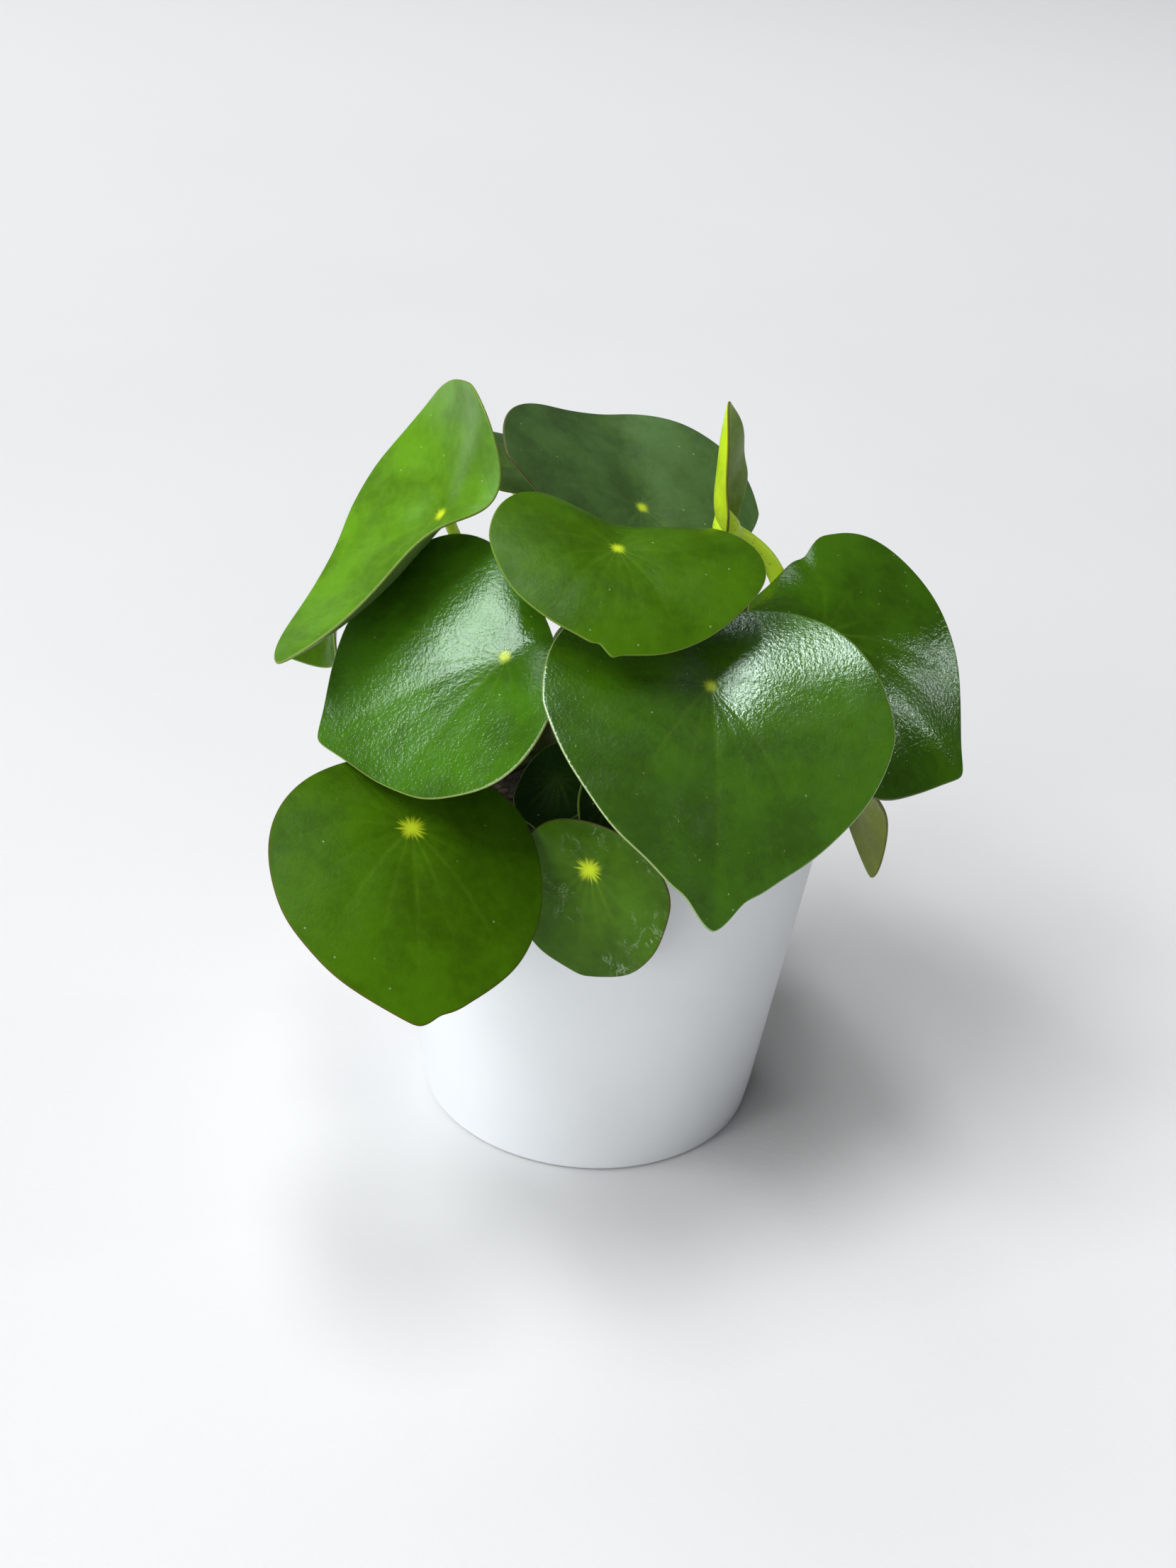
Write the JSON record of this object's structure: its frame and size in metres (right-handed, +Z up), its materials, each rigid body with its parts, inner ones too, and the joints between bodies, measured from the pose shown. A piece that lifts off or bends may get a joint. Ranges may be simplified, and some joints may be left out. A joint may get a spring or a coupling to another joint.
{
  "type": "potted raindrop peperomia",
  "caption": "Raindrop peperomia houseplant with glossy teardrop leaves on pale stalks, growing in a plain white tapered ceramic pot.",
  "frame": {"origin": "centre of the pot's flat underside, on the surface that the pot stands on", "axes": "+Z up along the pot's axis; -Y towards the plant's fuller side, where the lowest leaves hang over the rim; +X to the right seen from that side"},
  "size_m": [0.1701, 0.1796, 0.1978],
  "materials": {
    "pot": "satin white, very slightly cool",
    "soil": "matt, moist bark and peat mix",
    "stem": "satin, pale yellow-green",
    "leaf": "glossy deep green",
    "leaf_bright": "satin, light yellow-green",
    "leaf_dark": "satin, very deep green",
    "leaf_dull": "satin, grey green",
    "leaf_pale": "satin, pale olive underside"
  },
  "bodies": {
    "root": {"leaf_back_left": "leaf_dull", "leaf_front_left": "leaf", "leaf_front_right": "leaf", "leaf_inner_left": "leaf_dark", "leaf_inner_right": "leaf_dark", "leaf_left_hanging": "leaf_dull", "leaf_lower_left": "leaf_dark", "leaf_lower_small": "leaf_dark", "leaf_rear_left": "leaf", "leaf_rear_low": "leaf", "leaf_rear_right": "leaf", "leaf_right": "leaf", "leaf_right_hanging": "leaf_pale", "leaf_tall_left": "leaf_bright", "leaf_top_back": "leaf_dull", "leaf_top_middle": "leaf", "leaf_upright_young": "leaf_pale", "pot": "pot", "soil": "soil", "stem_left": "stem", "stem_rear": "stem", "stem_right": "stem"}
  },
  "joints": []
}
